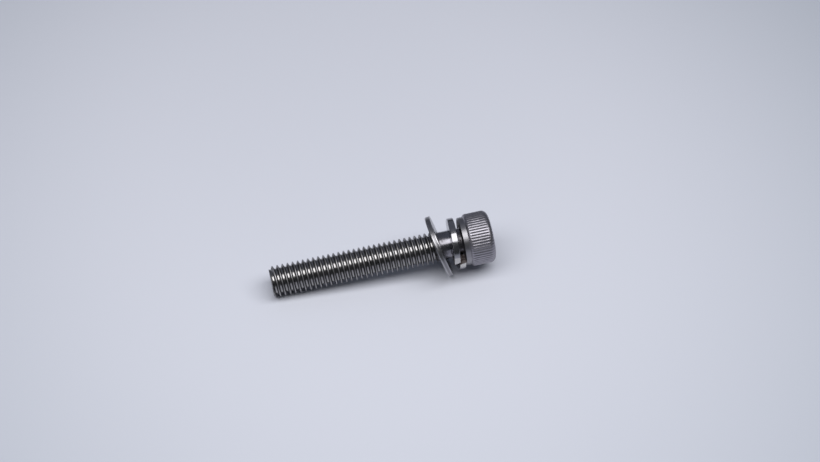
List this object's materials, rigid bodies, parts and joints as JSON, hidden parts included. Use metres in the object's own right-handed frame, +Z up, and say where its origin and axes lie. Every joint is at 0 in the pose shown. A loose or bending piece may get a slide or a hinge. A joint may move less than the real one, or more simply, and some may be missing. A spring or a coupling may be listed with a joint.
{
  "type": "hex socket cap screw",
  "caption": "Knurled hex socket cap screw with a captive split spring washer and flat washer on its neck, lying at rest.",
  "frame": {"origin": "on the surface the screw lies on, below the middle of the part's box", "axes": "+X from the tip towards the head along the surface, +Z up, +Y across the screw"},
  "size_m": [0.035, 0.0098, 0.0096],
  "materials": {
    "screw_steel": "plain stainless steel, rolled thread and straight knurl, satin sheen",
    "spring_steel": "plain stainless spring steel, smooth drawn faces and cut ends",
    "washer_steel": "plain stainless sheet, stamped, lightly tumbled"
  },
  "bodies": {
    "screw": {"screw": "screw_steel"},
    "spring_washer": {"spring_washer": "spring_steel"},
    "flat_washer": {"flat_washer": "washer_steel"}
  },
  "joints": [
    {"name": "spring_washer_turn", "type": "hinge", "parent": "screw", "child": "spring_washer", "pos_m": [0.0115, 0, 0.00483], "axis": [0.9973, 0, 0.0729], "continuous": true},
    {"name": "flat_washer_turn", "type": "hinge", "parent": "screw", "child": "flat_washer", "pos_m": [0.009, 0, 0.00478], "axis": [0.9485, 0.0381, 0.3145], "continuous": true}
  ]
}
